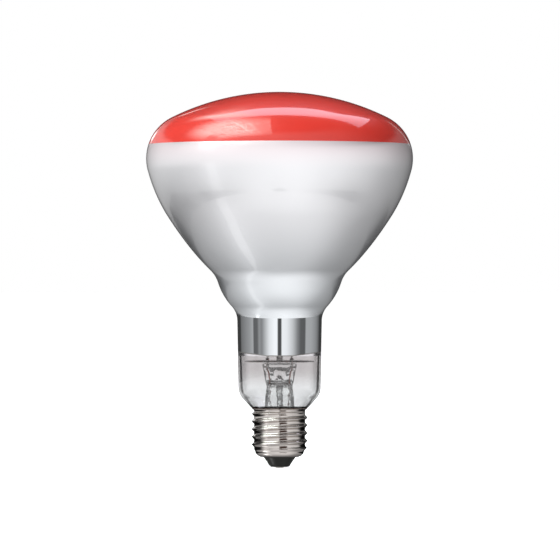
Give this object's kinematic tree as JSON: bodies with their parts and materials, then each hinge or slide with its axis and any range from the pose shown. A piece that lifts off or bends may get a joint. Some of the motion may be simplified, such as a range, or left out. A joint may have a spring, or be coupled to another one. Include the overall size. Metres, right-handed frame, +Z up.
{
  "type": "infrared reflector heat lamp",
  "caption": "Red-fronted infrared reflector lamp for brooders and small livestock: silvered bowl, clear neck showing the stem, and a nickel screw cap.",
  "frame": {"origin": "lowest point of the centre contact, on the lamp's axis", "axes": "+Z up the axis from the centre contact to the middle of the red front; the wide face of the stem's pinch looks along -Y"},
  "size_m": [0.125, 0.125, 0.176],
  "materials": {
    "clear_glass": "clear blown glass, glossy",
    "aluminium_mirror": "vapour-deposited mirror, satin on the bowl and bright on the neck",
    "red_filter": "translucent red layer under glossy glass",
    "stem_glass": "clear glass",
    "shield_metal": "thin bright disc",
    "ferrule_metal": "nickel",
    "nickel_wire": "nickel wire",
    "dumet": "copper-clad seal wire",
    "copper_wire": "copper wire",
    "molybdenum_wire": "drawn wire",
    "tungsten": "coiled tungsten wire",
    "nickel_plate": "nickel-plated brass sheet, bright",
    "black_glass": "black insulating glass, glossy",
    "brass": "stamped brass",
    "solder": "tin solder",
    "basing_cement": "cured cement, matt"
  },
  "bodies": {
    "root": {"glass_envelope": "clear_glass", "reflector_coating": "aluminium_mirror", "red_filter_coating": "red_filter", "stem_flare": "stem_glass", "exhaust_tube": "stem_glass", "arbor_rod": "stem_glass", "heat_shield": "shield_metal", "disc_ferrule_left": "ferrule_metal", "disc_ferrule_right": "ferrule_metal", "inner_lead_left": "nickel_wire", "inner_lead_right": "nickel_wire", "seal_wire_left": "dumet", "seal_wire_right": "dumet", "outer_lead_contact": "copper_wire", "outer_lead_rim": "copper_wire", "support_wire_1": "molybdenum_wire", "support_wire_2": "molybdenum_wire", "support_wire_3": "molybdenum_wire", "support_wire_4": "molybdenum_wire", "support_wire_5": "molybdenum_wire", "filament": "tungsten", "cap_shell": "nickel_plate", "cap_insulator": "black_glass", "contact_plate": "brass", "contact_solder": "solder", "rim_solder": "solder", "basing_cement": "basing_cement"}
  },
  "joints": []
}
